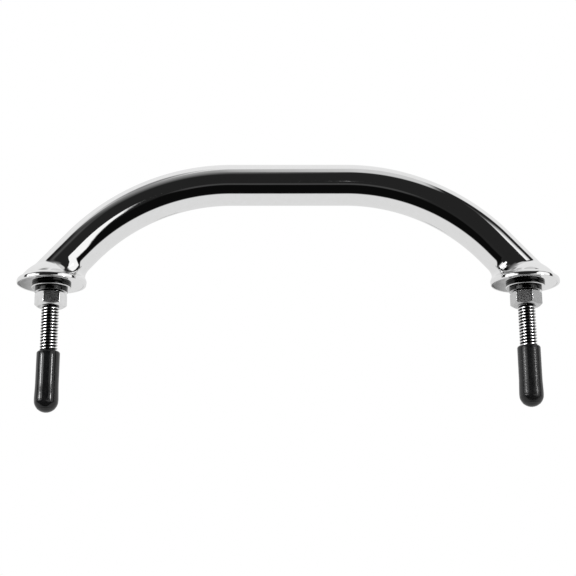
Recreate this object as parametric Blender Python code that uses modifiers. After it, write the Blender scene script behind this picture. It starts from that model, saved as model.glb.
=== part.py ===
"""Stud-mounted grab rail for a boat deck.

A bent stainless tube is coped onto two domed round bases. Each base has a closing plate with a
threaded weld stud, and the stud carries a flat washer, a split lock washer, a hex nut and a
push-on cap over its free end.

Frame: the origin is on the deck plane midway between the studs, +X runs along the rail and
+Z points up, away from the deck. Lengths are in metres.
"""

import math

import bmesh
import bpy
from mathutils import Matrix, Vector

# Rail tube
STUD_SPACING = 0.216
RAIL_HEIGHT = 0.0481  # deck plane to the tube's centre line at the top
TUBE_RADIUS = 0.019050 / 2
TUBE_WALL = 0.00124
TOP_STRAIGHT = 0.053
BEND_RADIUS = 0.0926  # of the centre line
BEND_ANGLE = math.radians(47.7)
LEG_END_HEIGHT = 0.002  # where the uncoped centre line ends, inside the dome

# Bases
PLATE_RADIUS = 0.0156
PLATE_THICKNESS = 0.0016
PLATE_ROUNDING = 0.0006
LAND_RADIUS = 0.0094  # inside this the plate's underside is relieved, so it seats on its rim
RELIEF_DEPTH = 0.0001
DOME_RADIUS = 0.0159
DOME_CROWN_HEIGHT = 0.0108
DOME_WALL = 0.0018
WELD_BEAD_RADIUS = 0.0007

# Studs, 5/16-18 thread
STUD_RADIUS = 0.00794 / 2
STUD_TIP_DEPTH = 0.055
STUD_TIP_CHAMFER = 0.0009
STUD_HEAD_RADIUS = 0.0055
STUD_HEAD_HEIGHT = 0.002
STUD_WELD_WIDTH = 0.0014
STUD_WELD_HEIGHT = 0.0014

# Hardware on the studs
WASHER_RADIUS = 0.0178 / 2
WASHER_BORE_RADIUS = 0.00873 / 2
WASHER_THICKNESS = 0.0016
WASHER_ROUNDING = 0.0003
LOCK_RADIUS = 0.0149 / 2
LOCK_BORE_RADIUS = 0.0083 / 2
LOCK_THICKNESS = 0.00186
LOCK_RISE = 0.00012  # how far the coil climbs from one end of the split to the other
LOCK_TURN = math.radians(350)
NUT_ACROSS_FLATS = 0.0127
NUT_HEIGHT = 0.0066
NUT_FACE_RADIUS = 0.0059  # flat round face that the 30 degree corner chamfer leaves
NUT_TURN = {"left": math.radians(12), "right": math.radians(-17.5)}  # where each was left
CAP_RADIUS = 0.01085 / 2
CAP_LENGTH = 0.0277
CAP_TOP_DEPTH = {"left": 0.0311, "right": 0.0291}  # each was pushed on a little differently
CAP_EDGE_ROUNDING = 0.001
CAP_WALL_AT_APEX = 0.0012

# Clearances between neighbouring pieces
GAP = 0.0003
STACK_GAP = 0.0001  # between the flat faces of the washers and the nut
THREAD_GAP = 0.00015  # radial, between the stud and what slides on it

# Facets
TUBE_SIDES_RESOLUTION = 10  # curve bevel resolution: 24 sides
BEND_STEPS = 14
ROUND_STEPS = 32
SMALL_ROUND_STEPS = 28
SHARP_ANGLE = math.radians(35)

STEEL_COLOUR = (0.80, 0.81, 0.82, 1.0)
STUD_STEEL_COLOUR = (0.74, 0.75, 0.76, 1.0)
WELD_COLOUR = (0.66, 0.66, 0.65, 1.0)
VINYL_COLOUR = (0.012, 0.012, 0.013, 1.0)

DOME_CENTRE_HEIGHT = DOME_CROWN_HEIGHT - DOME_RADIUS
SIDES = {"left": -1, "right": 1}


def clear_scene():
    for obj in list(bpy.data.objects):
        bpy.data.objects.remove(obj, do_unlink=True)


def new_collection(name):
    collection = bpy.data.collections.new(name)
    bpy.context.scene.collection.children.link(collection)
    return collection


def new_material(name, colour, roughness, metallic):
    material = bpy.data.materials.new(name)
    material.use_nodes = True
    shader = material.node_tree.nodes["Principled BSDF"]
    shader.inputs["Base Color"].default_value = colour
    shader.inputs["Roughness"].default_value = roughness
    shader.inputs["Metallic"].default_value = metallic
    return material


def new_object(name, mesh, material, collection):
    obj = bpy.data.objects.new(name, mesh)
    mesh.materials.clear()
    if material is not None:
        mesh.materials.append(material)
    collection.objects.link(obj)
    return obj


def object_from_bmesh(name, bm, material, collection):
    mesh = bpy.data.meshes.new(name)
    bm.to_mesh(mesh)
    bm.free()
    return new_object(name, mesh, material, collection)


def shade(mesh):
    mesh.shade_smooth()
    mesh.set_sharp_from_angle(angle=SHARP_ANGLE)


def freeze(obj):
    """Turns the object's modifiers into plain mesh, smooth but for its sharp corners."""
    bpy.context.view_layer.update()
    graph = bpy.context.evaluated_depsgraph_get()
    mesh = bpy.data.meshes.new_from_object(obj.evaluated_get(graph))
    obj.modifiers.clear()
    obj.data = mesh
    shade(mesh)


def turned(name, profile, material, collection, closed=False, steps=ROUND_STEPS):
    """A solid turned about Z from (radius, height) points that run down the outer side."""
    bm = bmesh.new()
    points = [bm.verts.new((radius, 0, height)) for radius, height in profile]
    for first, second in zip(points, points[1:]):
        bm.edges.new((first, second))
    if closed:
        bm.edges.new((points[-1], points[0]))
    obj = object_from_bmesh(name, bm, material, collection)
    screw = obj.modifiers.new("Turn", "SCREW")
    screw.axis = "Z"
    screw.angle = math.tau
    screw.steps = steps
    screw.render_steps = steps
    screw.use_merge_vertices = True
    screw.merge_threshold = 0.00001
    freeze(obj)
    return obj


def arc(centre, radius, start, end, steps):
    """(radius, height) points on an arc, from the start angle to the end angle."""
    angles = [start + (end - start) * step / steps for step in range(steps + 1)]
    return [(centre[0] + radius * math.cos(a), centre[1] + radius * math.sin(a)) for a in angles]


def ring_profile(inner, outer, top, bottom, rounding):
    """A closed washer section whose two outer corners are rounded."""
    upper = arc((outer - rounding, top - rounding), rounding, math.pi / 2, 0, 3)
    lower = arc((outer - rounding, bottom + rounding), rounding, 0, -math.pi / 2, 3)
    return [(inner, top)] + upper + lower + [(inner, bottom)]


def cut(obj, cutter, operation="DIFFERENCE"):
    boolean = obj.modifiers.new(cutter.name, "BOOLEAN")
    boolean.operation = operation
    boolean.solver = "EXACT"
    boolean.object = cutter


def hide_cutter(obj):
    obj.hide_render = True
    obj.display_type = "WIRE"


def bent_rod(name, points, radius, material, collection, cyclic=False, sides=2):
    """A round rod along the points, as a closed mesh."""
    curve = bpy.data.curves.new(name, "CURVE")
    curve.dimensions = "3D"
    curve.bevel_depth = radius
    curve.bevel_resolution = sides
    curve.use_fill_caps = not cyclic
    spline = curve.splines.new("POLY")
    spline.points.add(len(points) - 1)
    for point, place in zip(spline.points, points):
        point.co = (*place, 1)
    spline.use_cyclic_u = cyclic
    guide = bpy.data.objects.new(name + "_curve", curve)
    collection.objects.link(guide)
    bpy.context.view_layer.update()
    graph = bpy.context.evaluated_depsgraph_get()
    mesh = bpy.data.meshes.new_from_object(guide.evaluated_get(graph))
    bm = bmesh.new()
    bm.from_mesh(mesh)
    bmesh.ops.remove_doubles(bm, verts=bm.verts[:], dist=0.000001)
    bmesh.ops.recalc_face_normals(bm, faces=bm.faces[:])
    bm.to_mesh(mesh)
    bm.free()
    obj = new_object(name, mesh, material, collection)
    obj.matrix_world = guide.matrix_world
    bpy.data.objects.remove(guide)
    shade(mesh)
    return obj


def leg_axis_offset():
    """How far outboard of the stud the leg's centre line would cross the deck plane."""
    bend_end_x = TOP_STRAIGHT / 2 + BEND_RADIUS * math.sin(BEND_ANGLE)
    bend_end_height = RAIL_HEIGHT - BEND_RADIUS * (1 - math.cos(BEND_ANGLE))
    return bend_end_x + bend_end_height / math.tan(BEND_ANGLE) - STUD_SPACING / 2


def centre_line():
    """The tube's centre line from inside the left dome to inside the right one."""
    half = []
    for step in range(BEND_STEPS + 1):
        turn = BEND_ANGLE * step / BEND_STEPS
        x = TOP_STRAIGHT / 2 + BEND_RADIUS * math.sin(turn)
        height = RAIL_HEIGHT - BEND_RADIUS * (1 - math.cos(turn))
        half.append(Vector((x, 0, height)))
    end_x = STUD_SPACING / 2 + leg_axis_offset() - LEG_END_HEIGHT / math.tan(BEND_ANGLE)
    half.append(Vector((end_x, 0, LEG_END_HEIGHT)))
    mirrored = [Vector((-point.x, 0, point.z)) for point in reversed(half)]
    return mirrored + half


def rail_tube(parts, cutters):
    """The bent tube, bored through, with its ends coped to the domes."""
    steel = new_material("rail_tube", STEEL_COLOUR, 0.06, 1.0)
    path = centre_line()
    tube = bent_rod("rail_tube", path, TUBE_RADIUS, steel, parts, sides=TUBE_SIDES_RESOLUTION)
    bore_radius = TUBE_RADIUS - TUBE_WALL
    start = path[0] + (path[0] - path[1]).normalized() * TUBE_WALL
    end = path[-1] + (path[-1] - path[-2]).normalized() * TUBE_WALL
    bore_path = [start] + path[1:-1] + [end]
    bore = bent_rod("tube_bore", bore_path, bore_radius, None, cutters, sides=TUBE_SIDES_RESOLUTION)
    hide_cutter(bore)
    cut(tube, bore)
    for side, sign in SIDES.items():
        bm = bmesh.new()
        bmesh.ops.create_uvsphere(bm, u_segments=32, v_segments=24, radius=DOME_RADIUS + GAP)
        cope = object_from_bmesh(side + "_cope", bm, None, cutters)
        cope.location = (sign * STUD_SPACING / 2, 0, DOME_CENTRE_HEIGHT)
        hide_cutter(cope)
        cut(tube, cope)
    freeze(tube)


def base_plate(name, parts):
    """The disc under the dome, bored for the stud, with a shallow relief round the bore."""
    steel = new_material(name, STEEL_COLOUR, 0.06, 1.0)
    bore = STUD_RADIUS + GAP
    ring = ring_profile(bore, PLATE_RADIUS, PLATE_THICKNESS, 0, PLATE_ROUNDING)
    profile = ring[:-1] + [(LAND_RADIUS, 0), (LAND_RADIUS, RELIEF_DEPTH), (bore, RELIEF_DEPTH)]
    return turned(name, profile, steel, parts, closed=True)


def base_dome(name, parts):
    """A spherical cup, open below, that stands on the plate."""
    steel = new_material(name, STEEL_COLOUR, 0.06, 1.0)
    centre = (0, DOME_CENTRE_HEIGHT)
    rise = PLATE_THICKNESS + GAP - DOME_CENTRE_HEIGHT
    inner_radius = DOME_RADIUS - DOME_WALL
    outer = arc(centre, DOME_RADIUS, math.pi / 2, math.asin(rise / DOME_RADIUS), 9)
    inner = arc(centre, inner_radius, math.asin(rise / inner_radius), math.pi / 2, 6)
    profile = [(0, outer[0][1])] + outer[1:] + inner[:-1] + [(0, inner[-1][1])]
    return turned(name, profile, steel, parts)


def tube_weld(name, sign, parts):
    """The bead where the coped tube meets the dome, clear of both by the gap.

    Its centre line is where the tube's and the dome's surfaces would meet if both were
    larger by the bead's radius and the gap.
    """
    weld_metal = new_material(name, WELD_COLOUR, 0.2, 1.0)
    swell = WELD_BEAD_RADIUS + GAP
    along = Vector((-sign * math.cos(BEND_ANGLE), 0, math.sin(BEND_ANGLE)))
    across = Vector((sign * math.sin(BEND_ANGLE), 0, math.cos(BEND_ANGLE)))
    start = Vector((sign * leg_axis_offset(), 0, -DOME_CENTRE_HEIGHT))
    points = []
    for step in range(SMALL_ROUND_STEPS):
        turn = math.tau * step / SMALL_ROUND_STEPS
        spoke = across * math.cos(turn) + Vector((0, 1, 0)) * math.sin(turn)
        foot = start + spoke * (TUBE_RADIUS + swell)
        level = along.dot(foot)
        reach = math.sqrt(level**2 - foot.length_squared + (DOME_RADIUS + swell) ** 2) - level
        points.append(foot + along * reach + Vector((0, 0, DOME_CENTRE_HEIGHT)))
    return bent_rod(name, points, WELD_BEAD_RADIUS, weld_metal, parts, cyclic=True)


def stud(name, parts):
    """A weld stud: a flat head above the plate and a shank down through it."""
    steel = new_material(name, STUD_STEEL_COLOUR, 0.18, 1.0)
    seat = PLATE_THICKNESS + GAP
    profile = [
        (0, seat + STUD_HEAD_HEIGHT),
        (STUD_HEAD_RADIUS, seat + STUD_HEAD_HEIGHT),
        (STUD_HEAD_RADIUS, seat),
        (STUD_RADIUS, seat),
        (STUD_RADIUS, -STUD_TIP_DEPTH + STUD_TIP_CHAMFER),
        (STUD_RADIUS - STUD_TIP_CHAMFER, -STUD_TIP_DEPTH),
        (0, -STUD_TIP_DEPTH),
    ]
    return turned(name, profile, steel, parts, steps=SMALL_ROUND_STEPS)


def stud_weld(name, parts):
    """The fillet round the stud's head, inside the dome."""
    weld_metal = new_material(name, WELD_COLOUR, 0.4, 1.0)
    inner = STUD_HEAD_RADIUS + GAP
    seat = PLATE_THICKNESS + GAP
    profile = [
        (inner, seat + STUD_WELD_HEIGHT),
        (inner + STUD_WELD_WIDTH, seat),
        (inner, seat),
    ]
    return turned(name, profile, weld_metal, parts, closed=True, steps=SMALL_ROUND_STEPS)


def flat_washer(name, parts):
    steel = new_material(name, STEEL_COLOUR, 0.12, 1.0)
    profile = ring_profile(WASHER_BORE_RADIUS, WASHER_RADIUS, 0, -WASHER_THICKNESS, WASHER_ROUNDING)
    return turned(name, profile, steel, parts, closed=True)


def lock_washer(name, parts):
    """A split ring of square wire that climbs a little between its two ends."""
    steel = new_material(name, STEEL_COLOUR, 0.15, 1.0)
    bottom = -LOCK_THICKNESS
    corners = ((LOCK_BORE_RADIUS, 0), (LOCK_RADIUS, 0), (LOCK_RADIUS, bottom), (LOCK_BORE_RADIUS, bottom))
    bm = bmesh.new()
    bm.faces.new([bm.verts.new((radius, 0, height)) for radius, height in corners])
    bmesh.ops.spin(
        bm,
        geom=bm.verts[:] + bm.edges[:] + bm.faces[:],
        cent=(0, 0, 0),
        axis=(0, 0, 1),
        dvec=(0, 0, -LOCK_RISE / ROUND_STEPS),
        angle=LOCK_TURN,
        steps=ROUND_STEPS,
        use_duplicate=False,
    )
    bmesh.ops.recalc_face_normals(bm, faces=bm.faces[:])
    obj = object_from_bmesh(name, bm, steel, parts)
    shade(obj.data)
    return obj


def hex_nut(name, parts, cutters):
    """A hexagon with chamfered corners top and bottom and a plain bore."""
    steel = new_material(name, STEEL_COLOUR, 0.12, 1.0)
    corner_radius = NUT_ACROSS_FLATS / math.sqrt(3)
    bm = bmesh.new()
    to_corners_on_x = Matrix.Rotation(math.radians(30), 4, "Z")
    bmesh.ops.create_cone(
        bm,
        segments=6,
        cap_ends=True,
        radius1=corner_radius,
        radius2=corner_radius,
        depth=NUT_HEIGHT,
        matrix=Matrix.Translation((0, 0, -NUT_HEIGHT / 2)) @ to_corners_on_x,
    )
    nut = object_from_bmesh(name, bm, steel, parts)
    form_radius = corner_radius + GAP
    chamfer = (form_radius - NUT_FACE_RADIUS) * math.tan(math.radians(30))
    form_profile = [
        (0, 0),
        (NUT_FACE_RADIUS, 0),
        (form_radius, -chamfer),
        (form_radius, chamfer - NUT_HEIGHT),
        (NUT_FACE_RADIUS, -NUT_HEIGHT),
        (0, -NUT_HEIGHT),
    ]
    form = turned(name + "_chamfer", form_profile, None, cutters)
    bore_radius = STUD_RADIUS + THREAD_GAP
    bore_profile = [(0, GAP), (bore_radius, GAP), (bore_radius, -NUT_HEIGHT - GAP), (0, -NUT_HEIGHT - GAP)]
    bore = turned(name + "_bore", bore_profile, None, cutters, steps=SMALL_ROUND_STEPS)
    for cutter, operation in ((form, "INTERSECT"), (bore, "DIFFERENCE")):
        hide_cutter(cutter)
        cut(nut, cutter, operation)
    freeze(nut)
    return nut


def stud_cap(name, parts):
    """A blind sleeve with a hemispherical end, its origin at the open top edge."""
    vinyl = new_material(name, VINYL_COLOUR, 0.3, 0.0)
    bore_radius = STUD_RADIUS + THREAD_GAP
    edge = CAP_EDGE_ROUNDING
    lip = arc((CAP_RADIUS - edge, -edge), edge, math.pi / 2, 0, 3)
    dome = arc((0, CAP_RADIUS - CAP_LENGTH), CAP_RADIUS, 0, -math.pi / 2, 6)
    bore_end = CAP_WALL_AT_APEX - CAP_LENGTH
    profile = [(0, bore_end), (bore_radius, bore_end), (bore_radius, 0)] + lip + dome[:-1]
    profile.append((0, -CAP_LENGTH))
    return turned(name, profile, vinyl, parts)


def place(obj, axis, height=0.0, spin=0.0):
    """Hangs the piece on the stud's axis with its origin at the height."""
    obj.parent = axis
    obj.location = (0, 0, height)
    obj.rotation_euler = (0, 0, spin)


def mounting(side, sign, parts, cutters):
    """One base with its stud and everything that the stud carries."""
    axis = bpy.data.objects.new(side + "_stud_axis", None)
    axis.location = (sign * STUD_SPACING / 2, 0, 0)
    parts.objects.link(axis)
    place(base_plate(side + "_base_plate", parts), axis)
    place(base_dome(side + "_base_dome", parts), axis)
    place(tube_weld(side + "_tube_weld", sign, parts), axis)
    place(stud(side + "_stud", parts), axis)
    place(stud_weld(side + "_stud_weld", parts), axis)
    washer_top = -STACK_GAP
    lock_top = washer_top - WASHER_THICKNESS - STACK_GAP
    nut_top = lock_top - LOCK_THICKNESS - LOCK_RISE - STACK_GAP
    place(flat_washer(side + "_flat_washer", parts), axis, washer_top)
    place(lock_washer(side + "_lock_washer", parts), axis, lock_top, spin=math.radians(50))
    place(hex_nut(side + "_hex_nut", parts, cutters), axis, nut_top, spin=NUT_TURN[side])
    place(stud_cap(side + "_stud_cap", parts), axis, -CAP_TOP_DEPTH[side])


def main():
    clear_scene()
    bpy.context.scene.unit_settings.system = "METRIC"
    parts = new_collection("grab_rail")
    cutters = new_collection("cutters")
    rail_tube(parts, cutters)
    for side, sign in SIDES.items():
        mounting(side, sign, parts, cutters)


main()
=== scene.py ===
"""Looks of the stud-mounted grab rail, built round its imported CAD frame.

The rail is polished stainless tube whose ends run into domed feet. Each foot has a closing plate
and a threaded stud that carries a flat washer, a split lock washer, a hex nut and a vinyl cap.
Lengths are in metres and +Z points away from the deck, as in the frame.
"""

import math

import bmesh
import bpy
from mathutils import Matrix, Vector


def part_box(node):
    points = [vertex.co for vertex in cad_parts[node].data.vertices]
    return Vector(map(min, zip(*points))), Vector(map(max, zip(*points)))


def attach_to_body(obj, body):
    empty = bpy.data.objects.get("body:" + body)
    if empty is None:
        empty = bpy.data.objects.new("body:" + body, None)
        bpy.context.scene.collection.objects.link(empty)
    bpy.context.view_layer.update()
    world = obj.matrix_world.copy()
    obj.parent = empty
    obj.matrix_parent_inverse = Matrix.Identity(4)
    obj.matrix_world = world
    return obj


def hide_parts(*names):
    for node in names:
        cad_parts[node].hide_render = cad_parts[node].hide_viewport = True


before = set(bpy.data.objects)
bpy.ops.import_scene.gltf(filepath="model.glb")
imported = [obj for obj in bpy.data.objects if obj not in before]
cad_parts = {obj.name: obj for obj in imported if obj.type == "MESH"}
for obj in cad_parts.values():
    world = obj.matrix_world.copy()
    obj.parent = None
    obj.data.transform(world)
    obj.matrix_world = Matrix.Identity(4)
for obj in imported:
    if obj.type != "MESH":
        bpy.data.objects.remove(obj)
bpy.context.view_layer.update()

MM = 0.001

# Rail, the same as in the CAD part
TOP_STRAIGHT = 53.0 * MM
BEND_RADIUS = 92.6 * MM
BEND_ANGLE = math.radians(47.7)
TUBE_WALL = 1.24 * MM
SEAM_DISTANCE = 20.85 * MM  # along the leg's axis, from the deck plane to where foot meets tube

# Feet
DOME_RADIUS = 15.9 * MM
RIM_HEIGHT = 1.2 * MM  # of the rim's upright side
RIM_TOP_ROUNDING = 1.2 * MM
RIM_EDGE = 0.35 * MM  # rounding of the rim's lower edge
RIM_BLEND = 0.85 * MM  # how far rim and dome flow into each other
OUTER_BLEND = 0.5 * MM  # how far dome and leg do, on the outboard side
SIDE_BLEND = 0.5 * MM
INNER_BLEND = 5.5 * MM
SEARCH_REACH = 24 * MM  # no point of the foot is further than this from a ring's centre
SEARCH_STEPS = 30
PLATE_GAP = 0.05 * MM
PLATE_EASE = 0.15 * MM

# Thread, 5/16-18
THREAD_PITCH = 25.4 * MM / 18
THREAD_DEPTH = 0.86 * MM
THREAD_CREST = 0.14  # half the crest's width, in turns of the thread
THREAD_FLANK = 0.3
THREAD_RUN_OUT = 0.8 * MM
THREAD_CLEARANCE = 0.1 * MM
NUT_MINOR_RADIUS = 3.36 * MM
STUD_RADIUS = 3.97 * MM
STUD_POINT_EASE = 0.1 * MM  # how far the flat tip stays inside the thread's roots
STUD_SHANK_START = -0.2 * MM
STUD_HEAD_HEIGHT = 2.0 * MM
STUD_HEAD_EASE = 0.3 * MM

# Hardware
NUT_ACROSS_FLATS = 12.7 * MM
NUT_FACE_RADIUS = 5.9 * MM
NUT_TURN = {"left": math.radians(12), "right": math.radians(-17.5)}
NUT_CHAMFER_SLOPE = math.tan(math.radians(30))
NUT_CORNER_ROUNDING = 0.38 * MM
NUT_EDGE_ROUNDING = 0.14 * MM
NUT_MOUTH_RADIUS = 4.3 * MM
NUT_CORNER_STEPS = 6
NUT_FLAT_STEPS = 8
WASHER_BORE_RADIUS = 4.365 * MM
WASHER_BORE_ROUNDING = 0.2 * MM
WASHER_TOP_ROUNDING = 0.1 * MM
WASHER_ROUNDING = 0.38 * MM
LOCK_BORE_RADIUS = 4.15 * MM
LOCK_BORE_ROUNDING = 0.15 * MM
LOCK_ROUNDING = 0.12 * MM
LOCK_TURN = math.radians(350)
LOCK_SPIN = math.radians(50)  # where the split is, from +X
LOCK_RISE = 0.12 * MM

# Caps
CAP_BORE_RADIUS = 4.12 * MM
CAP_BORE_ROUNDING = 1.0 * MM
CAP_LIP_ROUNDING = 0.25 * MM
CAP_TOP_ROUNDING = 1.0 * MM
CAP_SLIMMING = 0.21 * MM  # how much slimmer the sleeve is than the bulge over the stud's tip
CAP_DOME_HEIGHT = 5.4 * MM
CAP_BULGE_LENGTH = 8.0 * MM
CAP_SEAM_DEPTH = 0.07 * MM  # of the faint groove between sleeve and domed end
CAP_SEAM_BOTTOM = 0.06 * MM  # how far below the sleeve the groove is deepest
CAP_SEAM_END = 0.14 * MM
CAP_END_WALL = 1.2 * MM
CAP_SWELL_STEPS = 16
CAP_DOME_STEPS = 24

# Facets
ROUND_STEPS = 128
THREAD_STEPS = 72
THREAD_ROWS = 14  # rows of vertices in each pitch
BEND_RINGS = 64
STRAIGHT_RINGS = 20
LEG_RINGS = 16
FOOT_RINGS = 84
ARC_STEPS = 8
WELD_DISTANCE = 1e-7  # points nearer than this become one
THREAD_WELD_DISTANCE = 2e-6
SHORTEST_EDGE = 1e-6

SIDES = {"left": -1, "right": 1}


# ---------------------------------------------------------------------------------------------
# Mesh helpers


def smooth_step(low, high, value):
    """0 up to low and 1 from high on, with a smooth rise between."""
    t = min(max((value - low) / (high - low), 0.0), 1.0)
    return t * t * (3 - 2 * t)


def lerp(a, b, t):
    """From a to b as t goes from 0 to 1."""
    return a + (b - a) * t


def arc(centre, radius, start, end, steps=ARC_STEPS):
    """Points on a circular arc in the (radius, height) plane, angles in degrees."""
    angles = [math.radians(lerp(start, end, i / steps)) for i in range(steps + 1)]
    return [
        (centre[0] + radius * math.cos(a), centre[1] + radius * math.sin(a)) for a in angles
    ]


def skin(bm, rings, loop=False, ends=False):
    """Faces between rings of points. A ring of one point closes an end as a fan."""
    rows = [[bm.verts.new(p) for p in ring] for ring in rings]
    pairs = list(zip(rows, rows[1:]))
    if loop:
        pairs.append((rows[-1], rows[0]))
    for lower, upper in pairs:
        count = max(len(lower), len(upper))
        for i in range(count):
            j = (i + 1) % count
            corners = []
            for row, k in ((lower, i), (lower, j), (upper, j), (upper, i)):
                vert = row[k % len(row)]
                if vert not in corners:
                    corners.append(vert)
            bm.faces.new(corners)
    if ends:
        bm.faces.new(rows[0])
        bm.faces.new(rows[-1])


def turn_rings(profile, steps=ROUND_STEPS):
    """One ring about Z for each (radius, height) point; a radius of zero gives one point."""
    rings = []
    for radius, height in profile:
        if radius == 0:
            rings.append([Vector((0, 0, height))])
            continue
        angles = [math.tau * i / steps for i in range(steps)]
        rings.append(
            [Vector((radius * math.cos(a), radius * math.sin(a), height)) for a in angles]
        )
    return rings


def finish_piece(name, bm, x, material, sharp=40, weighted=True):
    """Turns the bmesh into a named piece that stands at x on the rail's long axis."""
    bmesh.ops.remove_doubles(bm, verts=bm.verts, dist=WELD_DISTANCE)
    bmesh.ops.recalc_face_normals(bm, faces=bm.faces)
    mesh = bpy.data.meshes.new(name)
    bm.to_mesh(mesh)
    bm.free()
    mesh.shade_smooth()
    mesh.set_sharp_from_angle(angle=math.radians(sharp))
    mesh.materials.append(material)
    piece = bpy.data.objects.new(name, mesh)
    bpy.context.scene.collection.objects.link(piece)
    piece.location.x = x
    if weighted:
        normals = piece.modifiers.new("flat_faces", "WEIGHTED_NORMAL")
        normals.keep_sharp = True
    return piece


def attach(piece, body, slot, *nodes):
    """The piece rides on its body and stands for its CAD nodes, which are hidden."""
    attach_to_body(piece, body)
    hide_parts(*nodes)


# ---------------------------------------------------------------------------------------------
# Node helper


class Nodes:
    """Short calls that add nodes to one tree. An input is a number, a colour or a socket."""

    def __init__(self, tree):
        self.tree = tree

    def add(self, kind, inputs=None, **settings):
        """A node with these inputs, linked or set, and these settings."""
        node = self.tree.nodes.new(kind)
        for key, value in settings.items():
            setattr(node, key, value)
        for key, value in (inputs or {}).items():
            if isinstance(value, bpy.types.NodeSocket):
                self.tree.links.new(value, node.inputs[key])
            else:
                node.inputs[key].default_value = value
        return node

    def math(self, operation, *values):
        return self.add("ShaderNodeMath", dict(enumerate(values)), operation=operation).outputs[0]

    def ramp(self, value, low, high, out_low=0.0, out_high=1.0):
        """A smooth step from out_low to out_high as value goes from low to high."""
        inputs = {
            "Value": value,
            "From Min": low,
            "From Max": high,
            "To Min": out_low,
            "To Max": out_high,
        }
        node = self.add("ShaderNodeMapRange", inputs, interpolation_type="SMOOTHSTEP")
        return node.outputs["Result"]

    def blend(self, under, over, mask):
        """Under where mask is 0, over where it is 1."""
        node = self.add("ShaderNodeMix", {0: mask, 2: under, 3: over}, data_type="FLOAT")
        return node.outputs[0]

    def noise(self, vector, scale, detail=4.0, roughness=0.5, distortion=0.0):
        inputs = {
            "Vector": vector,
            "Scale": scale,
            "Detail": detail,
            "Roughness": roughness,
            "Distortion": distortion,
        }
        return self.add("ShaderNodeTexNoise", inputs).outputs["Fac"]

    def two_tone(self, value, low, first, high, second):
        """The first colour where value is low, the second where it is high."""
        node = self.add("ShaderNodeValToRGB", {"Fac": value})
        for stop, place, colour in zip(node.color_ramp.elements, (low, high), (first, second)):
            stop.position = place
            stop.color = (*colour, 1)
        return node.outputs["Color"]


# ---------------------------------------------------------------------------------------------
# Materials

# Colour of the painted shade in thread roots and on washer edges
PAINTED_SHADE_STEEL = 0.035  # reflectance

# Painted shade in the thread roots: where it begins and where it is full, in thread depths from
# the crest
ROOT_SHADE = (0.04, 0.26)

# The same painted shade for a washer's outer edge, from its rim inward, and how softly that ends
# underneath
EDGE_SHADE = (0.12 * MM, 0.03 * MM)
EDGE_FADE = 0.1 * MM


def new_material(name):
    """An empty node material with its Principled shader wired up."""
    material = bpy.data.materials.new(name)
    material.use_nodes = True
    tree = material.node_tree
    tree.nodes.clear()
    nodes = Nodes(tree)
    shader = nodes.add("ShaderNodeBsdfPrincipled")
    nodes.add("ShaderNodeOutputMaterial", {"Surface": shader.outputs["BSDF"]})
    return material, nodes, shader


def steel(name, tone, shine, wave, grain, dark=None):
    """Bare stainless steel.

    tone: darkest and lightest reflectance. shine: roughness where it is best and worst polished.
    wave: height of the slow unevenness left by polishing. grain: height of the fine marks.
    dark: given the nodes and the place, a mask that is 1 where shade is painted into the colour.
    """
    material, nodes, shader = new_material(name)
    place = nodes.add("ShaderNodeTexCoord").outputs["Object"]
    slow = nodes.noise(place, scale=130, detail=2)
    cloudy = nodes.noise(place, scale=420, detail=5, roughness=0.6)
    fine = nodes.noise(place, scale=5200, detail=3, roughness=0.65)

    low, high = tone
    worn = (low, low, low * 0.995)
    bright = (high, high, high * 1.004)
    base = nodes.two_tone(cloudy, 0.3, worn, 0.7, bright)
    links = nodes.tree.links
    # painted shade: where the mask is 1 the base colour turns near black
    if dark:
        blend = {0: dark(nodes, place), 6: base, 7: (*(3 * [PAINTED_SHADE_STEEL]), 1)}
        base = nodes.add("ShaderNodeMix", blend, data_type="RGBA").outputs[2]
    links.new(base, shader.inputs["Base Color"])
    links.new(nodes.ramp(cloudy, 0.3, 0.72, *shine), shader.inputs["Roughness"])

    broad = nodes.add("ShaderNodeBump", {"Height": slow, "Distance": wave, "Strength": 1.0})
    marks = nodes.add(
        "ShaderNodeBump",
        {"Height": fine, "Distance": grain, "Strength": 1.0, "Normal": broad.outputs[0]},
    )
    links.new(marks.outputs[0], shader.inputs["Normal"])
    shader.inputs["Metallic"].default_value = 1.0
    return material


def distance_from_axis(nodes, place):
    """How far the place is from the stud's axis, and its height."""
    split = nodes.add("ShaderNodeSeparateXYZ", {"Vector": place}).outputs
    across = nodes.math("POWER", split["X"], 2.0)
    along = nodes.math("POWER", split["Y"], 2.0)
    return nodes.math("SQRT", nodes.math("ADD", across, along)), split["Z"]


def painted_root_shade(nodes, place):
    """Painted shade: the thread roots are darkened in colour and the crests stay bright."""
    radius, _ = distance_from_axis(nodes, place)
    polished, shaded = (STUD_RADIUS - part * THREAD_DEPTH for part in ROOT_SHADE)
    return nodes.ramp(radius, polished, shaded)


def painted_edge_shade(outer, corner):
    """Painted shade: a washer's outer edge is darkened in colour above its rounded lower corner.
    """

    def mask(nodes, place):
        radius, height = distance_from_axis(nodes, place)
        polished, shaded = (outer - inset for inset in EDGE_SHADE)
        wall = nodes.ramp(radius, polished, shaded)
        return nodes.math("MULTIPLY", wall, nodes.ramp(height, corner - EDGE_FADE, corner))

    return mask


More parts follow.
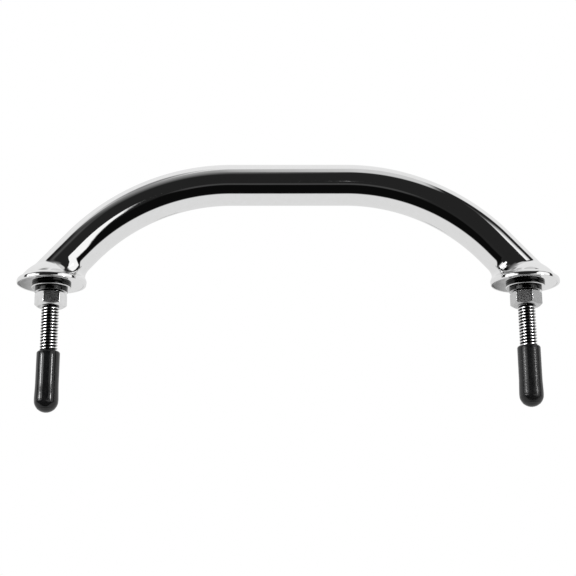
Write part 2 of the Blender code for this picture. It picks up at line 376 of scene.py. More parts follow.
def weld_metal(name):
    """Heat tinted weld bead, hidden inside the foot round the stud's head."""
    material, nodes, shader = new_material(name)
    place = nodes.add("ShaderNodeTexCoord").outputs["Object"]
    soot = nodes.noise(place, scale=900, detail=4, roughness=0.6)
    ripple = nodes.noise(place, scale=2600, detail=2)
    tint = nodes.two_tone(soot, 0.35, (0.36, 0.31, 0.25), 0.65, (0.62, 0.61, 0.59))
    bump = nodes.add("ShaderNodeBump", {"Height": ripple, "Distance": 0.08 * MM})
    links = nodes.tree.links
    links.new(tint, shader.inputs["Base Color"])
    links.new(nodes.ramp(soot, 0.3, 0.7, 0.32, 0.55), shader.inputs["Roughness"])
    links.new(bump.outputs[0], shader.inputs["Normal"])
    shader.inputs["Metallic"].default_value = 1.0
    return material


def vinyl(name, roughness):
    """Soft black dipped vinyl: glossy, a little wavy, with fine pores and handling marks."""
    material, nodes, shader = new_material(name)
    place = nodes.add("ShaderNodeTexCoord").outputs["Object"]
    wavy = nodes.noise(place, scale=260, detail=3, distortion=0.4)
    pores = nodes.noise(place, scale=3800, detail=4, roughness=0.7)
    smears = nodes.noise(place, scale=500, detail=3, roughness=0.6)
    clean, handled = (0.007, 0.007, 0.0075), (0.014, 0.014, 0.0145)
    black = nodes.two_tone(smears, 0.35, clean, 0.75, handled)
    broad = nodes.add("ShaderNodeBump", {"Height": wavy, "Distance": 0.025 * MM})
    fine = nodes.add(
        "ShaderNodeBump",
        {"Height": pores, "Distance": 0.001 * MM, "Normal": broad.outputs[0]},
    )
    links = nodes.tree.links
    links.new(black, shader.inputs["Base Color"])
    links.new(
        nodes.ramp(smears, 0.3, 0.75, roughness - 0.03, roughness + 0.04),
        shader.inputs["Roughness"],
    )
    links.new(fine.outputs[0], shader.inputs["Normal"])
    shader.inputs["IOR"].default_value = 1.43
    return material


# ---------------------------------------------------------------------------------------------
# Rail tube


class CentreLine:
    """The tube's centre line on one side: half the straight top, the bend and the leg."""

    def __init__(self, top, radius):
        self.height = top - radius
        self.radius = radius
        self.half = TOP_STRAIGHT / 2
        self.bend_length = BEND_RADIUS * BEND_ANGLE
        end, _ = self.at(self.half + self.bend_length)
        self.deck_x = end.x + end.z / math.tan(BEND_ANGLE)
        leg_length = end.z / math.sin(BEND_ANGLE)
        self.seam = self.half + self.bend_length + leg_length - SEAM_DISTANCE

    def at(self, distance):
        """The point and the outward normal at this distance from the middle of the rail."""
        if distance <= self.half:
            return Vector((distance, 0, self.height)), Vector((0, 0, 1))
        angle = min((distance - self.half) / BEND_RADIUS, BEND_ANGLE)
        run = max(distance - self.half - BEND_RADIUS * BEND_ANGLE, 0.0)
        point = Vector(
            (
                self.half + BEND_RADIUS * math.sin(angle) + run * math.cos(angle),
                0,
                self.height - BEND_RADIUS * (1 - math.cos(angle)) - run * math.sin(angle),
            )
        )
        return point, Vector((math.sin(angle), 0, math.cos(angle)))

    def stations(self):
        """Distances of the tube's rings, from the middle to the seam."""
        bend_end = self.half + self.bend_length
        straight = [self.half * i / STRAIGHT_RINGS for i in range(STRAIGHT_RINGS)]
        bend = [self.half + self.bend_length * i / BEND_RINGS for i in range(BEND_RINGS)]
        leg = [lerp(bend_end, self.seam, i / LEG_RINGS) for i in range(LEG_RINGS + 1)]
        return straight + bend + leg


def tube_ring(line, distance, sign, radius):
    """The points round the centre line at one station, on the side that sign gives."""
    centre, normal = line.at(distance)
    ring = []
    for i in range(ROUND_STEPS):
        a = math.tau * i / ROUND_STEPS
        point = centre + radius * (math.cos(a) * normal + math.sin(a) * Vector((0, 1, 0)))
        ring.append(Vector((sign * point.x, point.y, point.z)))
    return ring


def rail_tube(line, material):
    """The bent tube between the two feet, with its real wall."""
    half = line.stations()
    route = [(-1, s) for s in reversed(half[1:])] + [(1, s) for s in half]
    outer = [tube_ring(line, s, sign, line.radius) for sign, s in route]
    inner = [tube_ring(line, s, sign, line.radius - TUBE_WALL) for sign, s in reversed(route)]
    bm = bmesh.new()
    skin(bm, outer + inner, loop=True)
    piece = finish_piece("polished_tube", bm, 0, material, weighted=False)
    attach(piece, "rail", "polished_steel", "rail_tube")


# ---------------------------------------------------------------------------------------------
# Feet


def soft_union(a, b, width):
    """The union of two distance fields, filled out over the given width where they meet."""
    overlap = max(width - abs(a - b), 0.0) / width
    return min(a, b) - overlap * overlap * width / 4


class FootField:
    """Distance to the foot's surface: rim, dome and leg, flowing into each other."""

    def __init__(self, line, stack):
        self.leg_x = line.deck_x - abs(stack.x)
        self.tube_radius = line.radius
        self.rim_radius = stack.rim_radius
        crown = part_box(f"{stack.side}_base_dome")[1].z
        self.dome_centre = crown - DOME_RADIUS

    def __call__(self, p):
        around = math.hypot(p.x, p.y)
        side = around - (self.rim_radius - RIM_TOP_ROUNDING)
        above = max(p.z - RIM_HEIGHT, 0.0)
        rim = math.hypot(max(side, 0.0), above) - RIM_TOP_ROUNDING
        if side <= 0:
            rim = above - RIM_TOP_ROUNDING
            if above == 0:
                rim = side - RIM_TOP_ROUNDING
        dome = math.hypot(around, p.z - self.dome_centre) - DOME_RADIUS
        # distance from the leg's axis
        across = (p.x - self.leg_x) * math.sin(BEND_ANGLE) + p.z * math.cos(BEND_ANGLE)
        leg = math.hypot(across, p.y) - self.tube_radius
        outward = p.x / max(around, 1e-9)
        if outward > 0:
            width = lerp(SIDE_BLEND, OUTER_BLEND, outward)
        else:
            width = lerp(SIDE_BLEND, INNER_BLEND, smooth_step(0.0, 1.0, -outward))
        return soft_union(soft_union(rim, dome, RIM_BLEND), leg, width)


def surface_ring(field, pivot, tilt, reach, level):
    """Where the field has this level, in a plane that is tilted up about a pivot on the
    inboard side. Every ring keeps the tube's numbering of points round its axis."""
    along = Vector((math.cos(tilt), 0, math.sin(tilt)))
    centre = pivot + reach * along
    ring = []
    for i in range(ROUND_STEPS):
        a = math.tau * i / ROUND_STEPS
        ray = math.cos(a) * along + math.sin(a) * Vector((0, 1, 0))
        near, far = 0.0, SEARCH_REACH
        for _ in range(SEARCH_STEPS):
            middle = (near + far) / 2
            if field(centre + middle * ray) < level:
                near = middle
            else:
                far = middle
        ring.append(centre + near * ray)
    return ring


def foot(line, stack, material):
    """Rim, dome and weld flowing into the leg, as one ground and polished shell."""
    field = FootField(line, stack)
    across = Vector((math.sin(BEND_ANGLE), 0, math.cos(BEND_ANGLE)))
    seam_centre = Vector(
        (
            field.leg_x - SEAM_DISTANCE * math.cos(BEND_ANGLE),
            0,
            SEAM_DISTANCE * math.sin(BEND_ANGLE),
        )
    )
    seam_reach = (seam_centre.z - RIM_HEIGHT) / across.z
    pivot = seam_centre - seam_reach * across
    last_tilt = math.atan2(across.z, across.x)
    levels = []
    for i in range(FOOT_RINGS + 1):
        t = i / FOOT_RINGS
        levels.append((t * last_tilt, lerp(-pivot.x, seam_reach, t)))

    lip = arc((stack.rim_radius - RIM_EDGE, RIM_EDGE), RIM_EDGE, -90, 0, 5)
    lip += [(stack.rim_radius, lerp(RIM_EDGE, RIM_HEIGHT, i / 4)) for i in range(1, 4)]
    outer = turn_rings(lip)
    outer += [surface_ring(field, pivot, tilt, reach, 0.0) for tilt, reach in levels]
    hidden = levels[::4]  # the inside needs fewer rings
    inner = [surface_ring(field, pivot, tilt, reach, -TUBE_WALL) for tilt, reach in hidden]
    inner = turn_rings([(stack.rim_radius - TUBE_WALL, 0)]) + inner
    bm = bmesh.new()
    skin(bm, outer + inner[::-1], loop=True)
    if stack.sign < 0:
        bmesh.ops.scale(bm, vec=(-1, 1, 1), verts=bm.verts)
    piece = finish_piece(f"{stack.side}_foot", bm, stack.x, material, weighted=False)
    nodes = (f"{stack.side}_base_dome", f"{stack.side}_tube_weld")
    attach(piece, "rail", "polished_steel", *nodes)


def closing_plate(stack, material):
    """The round plate that closes the foot underneath, bored for the stud."""
    outer = stack.rim_radius - TUBE_WALL - PLATE_GAP
    bore = STUD_RADIUS + PLATE_GAP
    top = stack.plate_high.z
    ease = PLATE_EASE
    profile = [(bore, top - ease), (bore, ease), (bore + ease, 0)]
    profile += [(lerp(bore, outer, i / 6), 0) for i in range(1, 6)]
    profile += [(outer - ease / 3, 0), (outer, ease / 3), (outer, top - 3 * ease)]
    profile += [(outer - 3 * ease, top), (bore + ease, top)]
    bm = bmesh.new()
    skin(bm, turn_rings(profile), loop=True)
    piece = finish_piece(f"{stack.side}_plate", bm, stack.x, material)
    attach(piece, "rail", "polished_steel", f"{stack.side}_base_plate")


# ---------------------------------------------------------------------------------------------
# Threads


def thread_drop(phase):
    """How deep a 60 degree thread is, 0 at the crest and 1 at the root, at a phase in turns."""
    from_crest = min(phase % 1.0, 1 - phase % 1.0)
    t = min(max((from_crest - THREAD_CREST) / THREAD_FLANK, 0.0), 1.0)
    return lerp(t, smooth_step(0, 1, t), 0.5)


def helix_skin(bm, angles, low, high, radius_at):
    """A threaded surface about Z between two heights.

    radius_at gives the radius for a thread phase and a height; at the two end heights it must
    not depend on the phase, so that the rows there close up into one ring.
    """
    step = THREAD_PITCH / THREAD_ROWS
    first = math.floor(low / step) - THREAD_ROWS - 1
    last = math.ceil(high / step) + 1
    count = last - first + 1
    columns = []
    for angle in angles:
        rise = THREAD_PITCH * angle / math.tau
        column = []
        for k in range(count):
            height = min(max((first + k) * step + rise, low), high)
            phase = height / THREAD_PITCH - angle / math.tau
            radius = radius_at(phase, height)
            column.append(
                bm.verts.new((radius * math.cos(angle), radius * math.sin(angle), height))
            )
        columns.append(column)
    for i, column in enumerate(columns):
        wraps = i == len(columns) - 1
        following = columns[0] if wraps else columns[i + 1]
        shift = THREAD_ROWS if wraps else 0
        for k in range(count - 1):
            if k + 1 + shift >= count:
                continue
            bm.faces.new(
                (column[k], following[k + shift], following[k + 1 + shift], column[k + 1])
            )


def stud(stack, material):
    """A threaded weld stud: chamfered tip, rolled thread, plain shank in the plate and a head."""
    major = STUD_RADIUS
    tip = stack.stud_low.z
    tip_radius = major - THREAD_DEPTH - STUD_POINT_EASE
    end = STUD_SHANK_START

    def radius_at(phase, height):
        threaded = major - THREAD_DEPTH * thread_drop(phase)
        run_out = smooth_step(end - THREAD_RUN_OUT, end, height)
        pointed = tip_radius + (height - tip)
        return min(lerp(threaded, major, run_out), pointed)

    head_radius = (stack.stud_high.x - stack.stud_low.x) / 2
    head_low = stack.stud_high.z - STUD_HEAD_HEIGHT
    head_high = stack.stud_high.z
    ease = STUD_HEAD_EASE
    head = [(major, end), (major, head_low), (head_radius - ease, head_low)]
    head += arc((head_radius - ease, head_low + ease), ease, -90, 0, 4)[1:]
    head += arc((head_radius - ease, head_high - ease), ease, 0, 90, 4)
    head += [(head_radius / 2, head_high), (0, head_high)]
    angles = [math.tau * i / THREAD_STEPS for i in range(THREAD_STEPS)]
    bm = bmesh.new()
    helix_skin(bm, angles, tip, end, radius_at)
    skin(bm, turn_rings(head, THREAD_STEPS))
    skin(bm, turn_rings([(0, tip), (tip_radius / 2, tip), (tip_radius, tip)], THREAD_STEPS))
    bmesh.ops.remove_doubles(bm, verts=bm.verts, dist=THREAD_WELD_DISTANCE)
    bmesh.ops.dissolve_degenerate(bm, edges=bm.edges, dist=SHORTEST_EDGE)
    piece = finish_piece(f"{stack.side}_threaded_stud", bm, stack.x, material, 50, False)
    attach(piece, "rail", "stud_steel", f"{stack.side}_stud")


# ---------------------------------------------------------------------------------------------
# Washers, nut and cap


def rounded_section(inner, outer, low, high, inner_ease, outer_ease, top_ease):
    """The outline of a flat ring's section with rounded corners, as (radius, height) points."""
    points = arc((inner + inner_ease, high - inner_ease), inner_ease, 90, 180, 4)
    points += arc((inner + inner_ease, low + inner_ease), inner_ease, 180, 270, 4)
    points += arc((outer - outer_ease, low + outer_ease), outer_ease, -90, 0)
    points += arc((outer - top_ease, high - top_ease), top_ease, 0, 90)
    return points


def flat_washer(stack, material):
    """A stamped washer, its lower outer edge rolled over by the press."""
    outer = stack.washer_radius
    low, high = stack.washer_low.z, stack.washer_high.z
    eases = (WASHER_BORE_ROUNDING, WASHER_ROUNDING, WASHER_TOP_ROUNDING)
    section = rounded_section(WASHER_BORE_RADIUS, outer, low, high, *eases)
    bm = bmesh.new()
    skin(bm, turn_rings(section), loop=True)
    piece = finish_piece(f"{stack.side}_washer", bm, stack.x, material)
    attach(piece, f"{stack.side}_washers", "washer_steel", f"{stack.side}_flat_washer")


def lock_washer(stack, material):
    """A spring washer: one open turn of square wire whose ends stand slightly apart."""
    outer = stack.lock_radius
    low = stack.lock_low.z
    high = stack.lock_high.z - LOCK_RISE
    eases = (LOCK_BORE_ROUNDING, LOCK_ROUNDING, LOCK_ROUNDING)
    section = rounded_section(LOCK_BORE_RADIUS, outer, low, high, *eases)
    rings = []
    for i in range(ROUND_STEPS + 1):
        t = i / ROUND_STEPS
        a = LOCK_SPIN + LOCK_TURN * t
        rings.append(
            [Vector((r * math.cos(a), r * math.sin(a), z + LOCK_RISE * t)) for r, z in section]
        )
    bm = bmesh.new()
    skin(bm, rings, ends=True)
    piece = finish_piece(f"{stack.side}_spring_washer", bm, stack.x, material)
    attach(piece, f"{stack.side}_washers", "washer_steel", f"{stack.side}_lock_washer")


def hex_outline(turn):
    """(angle, radius) points round a hexagon with rounded corners; at no turn, two are on X."""
    inset = NUT_ACROSS_FLATS / 2 - NUT_CORNER_ROUNDING
    corner = inset / math.cos(math.radians(30))
    points = []
    for k in range(6):
        middle = math.radians(60 * k) + turn
        centre = corner * Vector((math.cos(middle), math.sin(middle)))
        for i in range(NUT_CORNER_STEPS + 1):
            a = middle + math.radians(lerp(-30, 30, i / NUT_CORNER_STEPS))
            points.append(centre + NUT_CORNER_ROUNDING * Vector((math.cos(a), math.sin(a))))
        start = points[-1]
        next_corner = Matrix.Rotation(math.radians(60), 2) @ points[-1 - NUT_CORNER_STEPS]
        for i in range(1, NUT_FLAT_STEPS):
            points.append(start.lerp(next_corner, i / NUT_FLAT_STEPS))
    return [(math.atan2(p.y, p.x) % math.tau, p.length) for p in points]


def hex_nut(stack, material):
    """A double chamfered nut with a real thread, so it can run down the stud."""
    low, high = stack.nut_low.z, stack.nut_high.z
    outline = sorted(hex_outline(NUT_TURN[stack.side]))
    angles = [a for a, _ in outline]
    crest = STUD_RADIUS + THREAD_CLEARANCE

    def radius_at(phase, height):
        threaded = max(crest - THREAD_DEPTH * thread_drop(phase), NUT_MINOR_RADIUS)
        mouth = NUT_MOUTH_RADIUS - min(height - low, high - height)
        return max(threaded, mouth)

    def ring(place):
        """A ring of points, given the radius and height for each radius of the outline."""
        points = []
        for a, r in outline:
            radius, height = place(r)
            points.append(Vector((radius * math.cos(a), radius * math.sin(a), height)))
        return points

    ease = NUT_EDGE_ROUNDING
    rings = []
    for face, inward in ((high, -1), (low, 1)):
        def edge(r, face=face, inward=inward):
            """The chamfer's height at this radius."""
            return face + inward * (r - NUT_FACE_RADIUS) * NUT_CHAMFER_SLOPE

        # face, chamfer, its rounded edge in two steps, and the flat's near part
        half = [
            ring(lambda r: (NUT_MOUTH_RADIUS, face)),
            ring(lambda r: (NUT_FACE_RADIUS - ease, face)),
            ring(lambda r: (NUT_FACE_RADIUS + ease, edge(NUT_FACE_RADIUS + ease))),
            ring(lambda r: (r - ease, edge(r - ease))),
            ring(lambda r: (r - ease * 0.3, edge(r - ease) + inward * ease * 0.55)),
            ring(lambda r: (r, edge(r) + inward * ease)),
            ring(lambda r: (r, lerp(edge(r) + inward * ease, (low + high) / 2, 0.4))),
        ]
        rings += half if face == high else half[::-1]
    bm = bmesh.new()
    helix_skin(bm, angles, low, high, radius_at)
    skin(bm, rings)
    bmesh.ops.remove_doubles(bm, verts=bm.verts, dist=THREAD_WELD_DISTANCE)
    piece = finish_piece(f"{stack.side}_nut", bm, stack.x, material, 32)
    attach(piece, f"{stack.side}_nut", "nut_steel", f"{stack.side}_hex_nut")


def cap(stack, material):
    """A push-on cap: rounded mouth, sleeve that swells over the stud's tip, domed end."""
    bulge = (stack.cap_high.x - stack.cap_low.x) / 2
    sleeve = bulge - CAP_SLIMMING
    top, apex = stack.cap_high.z, stack.cap_low.z
    dome_z = apex + CAP_DOME_HEIGHT
    lip = CAP_LIP_ROUNDING
    outer = arc((CAP_BORE_RADIUS + lip, top - lip), lip, 180, 90, 4)
    outer += arc((sleeve - CAP_TOP_ROUNDING, top - CAP_TOP_ROUNDING), CAP_TOP_ROUNDING, 90, 0)
    swell_top = dome_z + CAP_BULGE_LENGTH
    straight_top = top - CAP_TOP_ROUNDING
    outer += [(sleeve, lerp(straight_top, swell_top, i / 8)) for i in range(1, 8)]
    for i in range(CAP_SWELL_STEPS):
        t = i / CAP_SWELL_STEPS
        outer.append((sleeve + CAP_SLIMMING * smooth_step(0, 1, t), lerp(swell_top, dome_z, t)))
    seam = [(0.0, 0.0), (CAP_SEAM_BOTTOM, CAP_SEAM_DEPTH), (CAP_SEAM_END, CAP_SEAM_DEPTH / 2)]
    outer += [(bulge - depth, dome_z - below) for below, depth in seam]
    for i in range(3, CAP_DOME_STEPS):
        a = math.radians(90 * i / CAP_DOME_STEPS)
        outer.append((bulge * math.cos(a), dome_z - CAP_DOME_HEIGHT * math.sin(a)))
    outer.append((0, apex))
    floor_z = apex + CAP_END_WALL
    corner = CAP_BORE_ROUNDING
    inner = [(0, floor_z), (CAP_BORE_RADIUS - corner, floor_z)]
    inner += arc((CAP_BORE_RADIUS - corner, floor_z + corner), corner, -90, 0, 6)[1:]
    bm = bmesh.new()
    skin(bm, turn_rings(inner + outer))
    piece = finish_piece(f"{stack.side}_cap", bm, stack.x, material, weighted=False)
    attach(piece, f"{stack.side}_cap", "black_vinyl", f"{stack.side}_stud_cap")


class Stack:
    """The places of one foot and of what sits on its stud, read from the CAD nodes."""

    def __init__(self, side):
        self.side = side
        self.sign = SIDES[side]
        self.plate_low, self.plate_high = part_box(f"{side}_base_plate")
        self.stud_low, self.stud_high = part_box(f"{side}_stud")
        self.washer_low, self.washer_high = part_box(f"{side}_flat_washer")
        self.lock_low, self.lock_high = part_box(f"{side}_lock_washer")
        self.nut_low, self.nut_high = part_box(f"{side}_hex_nut")
        self.cap_low, self.cap_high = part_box(f"{side}_stud_cap")
        self.x = (self.plate_low.x + self.plate_high.x) / 2
        self.rim_radius = (self.plate_high.x - self.plate_low.x) / 2
        self.washer_radius = (self.washer_high.x - self.washer_low.x) / 2
        self.lock_radius = (self.lock_high.x - self.lock_low.x) / 2


# ---------------------------------------------------------------------------------------------
# Studio


def between(nodes, value, low, high, soft):
    """1 where value lies between low and high, falling to 0 over a soft edge."""
    rise = nodes.ramp(value, low - soft, low + soft)
    fall = nodes.ramp(value, high + soft, high - soft)
    return nodes.math("MULTIPLY", rise, fall)


def towards(azimuth, elevation):
    """The direction with this azimuth and elevation in degrees."""
    a, e = math.radians(azimuth), math.radians(elevation)
    return Vector((math.sin(a) * math.cos(e), -math.cos(a) * math.cos(e), math.sin(e)))


# Azimuth and elevation are in degrees; azimuth is 0 toward the front (-Y) and grows toward +X.
# x, y and z are a direction's own parts, so z is 0 level with the deck and 1 straight up.

# Ramps: where each begins and ends, and the value at either end (0 and 1 where none is given)
TENT_BY_Z = (-0.2, 0.9, 0.78, 0.86)
ROOM_EDGE_BY_Z = (-0.55, 0.0, 0.38, -0.05)
ROOM_TOP_BY_Z = (0.72, 0.95, 0.0, 0.15)
ROOM_SHIFT_BY_X = (-0.3, 0.3, 0.17, -0.11)
ROOM_SHIFT_BY_Z = (0.4, 0.7)
ROOM_EDGE_SOFT = (-0.05, 0.045)
GLOOM_BY_ELEVATION = (-16, -8, 0.0035, 0.018)
LEFT_CEILING_BY_Z = (0.62, 1.3, 0.0, 0.8)
RIGHT_CEILING_BY_Z = (0.83, 0.885, 0.0, 0.66)
RIGHT_CEILING_BY_X = (0.42, 0.33)
CEILING_SPLIT_BY_X = (-0.1, 0.12)
WINDOW_BY_ELEVATION = (40, 52, 1.05, 0.06)

# The window's three parts, by their corners' azimuth and elevation; the lower edge comes first
WINDOW_LOW_CORNERS = ((2, 3), (8, -6), (36, -21), (74, -12), (80, 20), (26, 14))
WINDOW_CORNERS = ((26, 12), (80, 12), (82, 40), (66, 47), (44, 39.5))
WINDOW_TOP_CORNERS = ((41, 36), (72, 40), (74, 50), (60, 58))
WINDOW_SOFT = 0.03

# Panels: azimuth from and to, elevation from and to, soft edge, strength
LEFT_BOARD = (-78, -46, -4, 30, 2.5, 0.9)
LOW_LEFT_BOARD = (-78, -34, 9.5, 14.5, 4, 5.0)
CEILING_FADE = (-50, -34, 33, 46, 5, 0.07)
CEILING_GAP = (-80, -61, 30, 48, 2, 0.004)
HIGH_LEFT_GREY = (-93, -50, 58, 80, 9, 0.27)
TABLE_SHADE = (-40, 5, -17, -9, 2, 0.02)
TABLE_SHEEN = (-6, 5, -17, -9, 2, 0.06)

# The same for the panels behind, whose azimuth is counted from the back (+Y)
BACK_LEFT_GREY = (-15, -10.6, -17.8, -14.2, 0.8, 0.25)
BACK_RIGHT_GREY = (7, 10.6, -17.8, -14.2, 0.8, 0.16)

# Strip lights, each a tall dim part over a short bright one: elevation, soft edge, strength
STRIP_AZIMUTHS = (-58.7, 48.8)
STRIP_HALF_WIDTH = 3
STRIP_TALL_PART = (14, 32, 1.0, 1.3)
STRIP_BRIGHT_PART = (9.5, 14.5, 0.6, 30.0)


def studio_world():
    """A white tent that is open and dark toward the front, with a ceiling light, two strip
    lights and a window. Only reflections and soft light see it: the camera sees plain white.
    """
    world = bpy.data.worlds.new("studio")
    bpy.context.scene.world = world
    world.use_nodes = True
    world.node_tree.nodes.clear()
    nodes = Nodes(world.node_tree)
    direction = nodes.add("ShaderNodeTexCoord").outputs["Generated"]
    split = nodes.add("ShaderNodeSeparateXYZ", {"Vector": direction}).outputs
    x, y, z = split["X"], split["Y"], split["Z"]
    front = nodes.math("MULTIPLY", y, -1.0)
    azimuth = nodes.math("DEGREES", nodes.math("ARCTAN2", x, front))
    back_azimuth = nodes.math("DEGREES", nodes.math("ARCTAN2", x, y))
    elevation = nodes.math("DEGREES", nodes.math("ARCSINE", z))

    def panel(value, patch, around=azimuth):
        """Puts a rectangle of light, or of dark, over what is there."""
        low, high, bottom, top, soft, strength = patch
        across = between(nodes, around, low, high, soft)
        upward = between(nodes, elevation, bottom, top, soft)
        return nodes.blend(value, strength, nodes.math("MULTIPLY", across, upward))

    def facet(value, corners, strength):
        """The same for a flat sided patch, given its corners' azimuth and elevation."""
        points = [towards(*corner) for corner in corners]
        mask = 1.0
        for start, end in zip(points, points[1:] + points[:1]):
            side = nodes.add("ShaderNodeVectorMath", {0: direction}, operation="DOT_PRODUCT")
            side.inputs[1].default_value = start.cross(end).normalized()
            inside = nodes.ramp(side.outputs["Value"], 0, WINDOW_SOFT)
            mask = nodes.math("MULTIPLY", mask, inside)
        return nodes.blend(value, strength, mask)

    # white tent, greyer in two places behind
    tent = nodes.ramp(z, *TENT_BY_Z)
    tent = panel(tent, BACK_LEFT_GREY, back_azimuth)
    tent = panel(tent, BACK_RIGHT_GREY, back_azimuth)

    # dark room in front: narrow low down, wider than a half circle level with the deck, then
    # drawn back on the left and reaching round further on the right, and narrower at the top
    edge = nodes.ramp(z, *ROOM_EDGE_BY_Z)
    edge = nodes.math("ADD", edge, nodes.ramp(z, *ROOM_TOP_BY_Z))
    shift = nodes.ramp(x, *ROOM_SHIFT_BY_X)
    shift = nodes.math("MULTIPLY", shift, nodes.ramp(z, *ROOM_SHIFT_BY_Z))
    edge = nodes.math("ADD", edge, shift)
    opening = nodes.ramp(nodes.math("SUBTRACT", front, edge), *ROOM_EDGE_SOFT)
    gloom = nodes.ramp(elevation, *GLOOM_BY_ELEVATION)
    light = nodes.blend(tent, gloom, opening)

    # ceiling light: crisp on the right, fading toward the left
    left_ceiling = nodes.ramp(z, *LEFT_CEILING_BY_Z)
    right_ceiling = nodes.ramp(z, *RIGHT_CEILING_BY_Z)
    right_edge = nodes.ramp(x, *RIGHT_CEILING_BY_X)
    right_ceiling = nodes.math("MULTIPLY", right_ceiling, right_edge)
    on_right = nodes.ramp(x, *CEILING_SPLIT_BY_X)
    ceiling = nodes.blend(left_ceiling, right_ceiling, on_right)
    light = nodes.math("MAXIMUM", light, ceiling)
    for patch in (CEILING_FADE, CEILING_GAP, HIGH_LEFT_GREY):
        light = panel(light, patch)

    # window on the right with slanting edges, dimmer at the top
    window_light = nodes.ramp(elevation, *WINDOW_BY_ELEVATION)
    for corners in (WINDOW_LOW_CORNERS, WINDOW_CORNERS, WINDOW_TOP_CORNERS):
        light = facet(light, corners, window_light)

    # boards on the left, the table's edge, and the strip lights over everything else
    for patch in (LEFT_BOARD, TABLE_SHADE, TABLE_SHEEN, LOW_LEFT_BOARD):
        light = panel(light, patch)
    for middle in STRIP_AZIMUTHS:
        sides = (middle - STRIP_HALF_WIDTH, middle + STRIP_HALF_WIDTH)
        for part in (STRIP_TALL_PART, STRIP_BRIGHT_PART):
            light = panel(light, sides + part)

    studio = nodes.add("ShaderNodeBackground", {"Color": light, "Strength": 1.0})
    white = nodes.add("ShaderNodeBackground", {"Color": (1, 1, 1, 1), "Strength": 1.0})
    seen = nodes.add("ShaderNodeLightPath").outputs["Is Camera Ray"]
    mix = nodes.add(
        "ShaderNodeMixShader", {0: seen, 1: studio.outputs[0], 2: white.outputs[0]}
    )
    nodes.add("ShaderNodeOutputWorld", {"Surface": mix.outputs[0]})


FLOOR_HEIGHT = -0.34
FLOOR_RADIUS = 4.0
FLOOR_STEPS = 128


def studio_floor():
    """A pale floor well below the object, with a faintly mottled matt surface."""
    material, nodes, shader = new_material("pale_floor")
    place = nodes.add("ShaderNodeTexCoord").outputs["Object"]
    mottle = nodes.noise(place, scale=18, detail=6, roughness=0.6)
    pale = nodes.two_tone(mottle, 0.0, (0.80, 0.80, 0.79), 1.0, (0.84, 0.84, 0.835))
    nodes.tree.links.new(pale, shader.inputs["Base Color"])
    shader.inputs["Roughness"].default_value = 0.8
    bm = bmesh.new()
    bmesh.ops.create_circle(bm, cap_ends=True, segments=FLOOR_STEPS, radius=FLOOR_RADIUS)
    mesh = bpy.data.meshes.new("floor")
    bm.to_mesh(mesh)
    bm.free()
    mesh.materials.append(material)
    floor = bpy.data.objects.new("floor", mesh)
    bpy.context.scene.collection.objects.link(floor)
    floor.location.z = FLOOR_HEIGHT
    floor.visible_glossy = False


OVERHEAD_SIZE = (0.9, 0.6)
OVERHEAD_PLACE = (-0.35, -0.35, 0.9)
OVERHEAD_POWER = 6.0


def soft_light():
    """A broad overhead light that shapes what isn't mirror-like. Reflections don't show it."""
    data = bpy.data.lights.new("overhead", "AREA")
    data.shape = "RECTANGLE"
    data.size, data.size_y = OVERHEAD_SIZE
    data.energy = OVERHEAD_POWER
    light = bpy.data.objects.new("overhead", data)
    bpy.context.scene.collection.objects.link(light)
    light.location = OVERHEAD_PLACE
    light.rotation_euler = (-light.location).to_track_quat("-Z", "Y").to_euler()
    light.visible_glossy = False


CAMERA_RISE = math.radians(15.95)  # it stands below the deck plane and looks up
CAMERA_YAW = math.radians(0.73)
CAMERA_ROLL = math.radians(-0.30)
CAMERA_DISTANCE = 0.598
CAMERA_AIM = (-0.4 * MM, -1.96 * MM)  # how far right of and above its target it looks
CAMERA_TARGET_HEIGHT = 0.4 * MM
CAMERA_LENS = 81.97


def studio_camera():
    """The camera, below the deck plane in front of the rail."""
    forward = Vector(
        (
            math.sin(CAMERA_YAW) * math.cos(CAMERA_RISE),
            math.cos(CAMERA_YAW) * math.cos(CAMERA_RISE),
            math.sin(CAMERA_RISE),
        )
    )
    level = Vector((math.cos(CAMERA_YAW), -math.sin(CAMERA_YAW), 0))
    upright = level.cross(forward)
    right = math.cos(CAMERA_ROLL) * level + math.sin(CAMERA_ROLL) * upright
    up = -math.sin(CAMERA_ROLL) * level + math.cos(CAMERA_ROLL) * upright
    place = CAMERA_AIM[0] * right + CAMERA_AIM[1] * up - CAMERA_DISTANCE * forward
    place.z += CAMERA_TARGET_HEIGHT
    data = bpy.data.cameras.new("camera")
    data.lens = CAMERA_LENS
    data.clip_start = 0.01
    camera = bpy.data.objects.new("camera", data)
    bpy.context.scene.collection.objects.link(camera)
    axes = Matrix((right, up, -forward)).transposed().to_4x4()
    camera.matrix_world = Matrix.Translation(place) @ axes
    bpy.context.scene.camera = camera


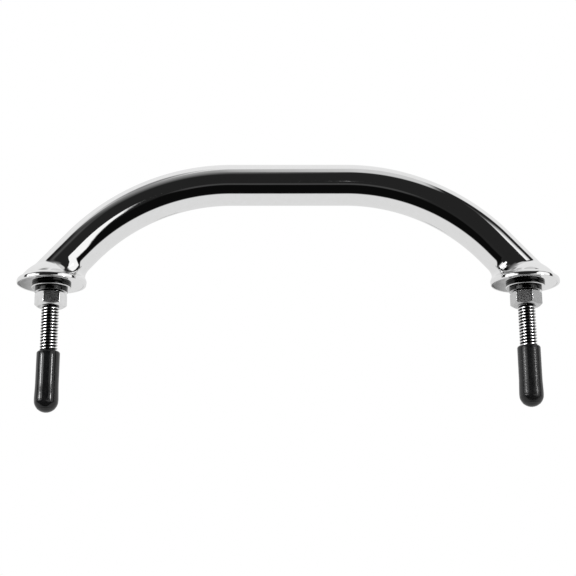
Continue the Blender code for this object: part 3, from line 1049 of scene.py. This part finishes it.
# ---------------------------------------------------------------------------------------------
# The object


def make_object():
    """Every visible piece, left and right."""
    mirror = steel("polished_steel", (0.87, 0.90), (0.02, 0.05), 0.015 * MM, 0.0002 * MM)
    foot_steel = steel("polished_foot", (0.87, 0.90), (0.025, 0.06), 0.04 * MM, 0.0003 * MM)
    plate_steel = steel("ground_plate", (0.84, 0.89), (0.03, 0.07), 0.02 * MM, 0.0006 * MM)
    # Both nuts are the same steel; the right nut's darker tone is painted shade, its extra
    # roughness is its own
    nuts = {
        "left": steel("nut_left", (0.78, 0.86), (0.14, 0.18), 0.01 * MM, 0.0008 * MM),
        "right": steel("nut_right_painted_shade", (0.56, 0.64), (0.25, 0.3), 0.01 * MM, 0.0008 * MM),
    }
    weld = weld_metal("weld_metal")
    caps = {"left": vinyl("vinyl_left", 0.09), "right": vinyl("vinyl_right", 0.24)}

    _, rail_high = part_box("rail_tube")
    line = CentreLine(rail_high.z, rail_high.y)
    rail_tube(line, mirror)
    shine, marks = (0.05, 0.11), (0.01 * MM, 0.001 * MM)
    for side in SIDES:
        stack = Stack(side)
        # painted shade darkens the thread roots
        stud_steel = steel(f"thread_{side}", (0.80, 0.9), shine, *marks, painted_root_shade)
        # painted shade darkens the washers' outer edges
        edge = painted_edge_shade(stack.washer_radius, stack.washer_low.z + WASHER_ROUNDING)
        washer_steel = steel(f"washer_{side}", (0.8, 0.88), shine, *marks, edge)
        edge = painted_edge_shade(stack.lock_radius, stack.lock_low.z + LOCK_ROUNDING)
        lock_steel = steel(f"spring_{side}", (0.8, 0.88), shine, *marks, edge)
        foot(line, stack, foot_steel)
        closing_plate(stack, plate_steel)
        stud(stack, stud_steel)
        flat_washer(stack, washer_steel)
        lock_washer(stack, lock_steel)
        hex_nut(stack, nuts[side])
        cap(stack, caps[side])
        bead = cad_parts[f"{side}_stud_weld"]
        for slot in bead.material_slots:
            slot.material = weld


make_object()
studio_world()
studio_floor()
soft_light()
studio_camera()
bpy.context.scene.view_settings.view_transform = "Standard"
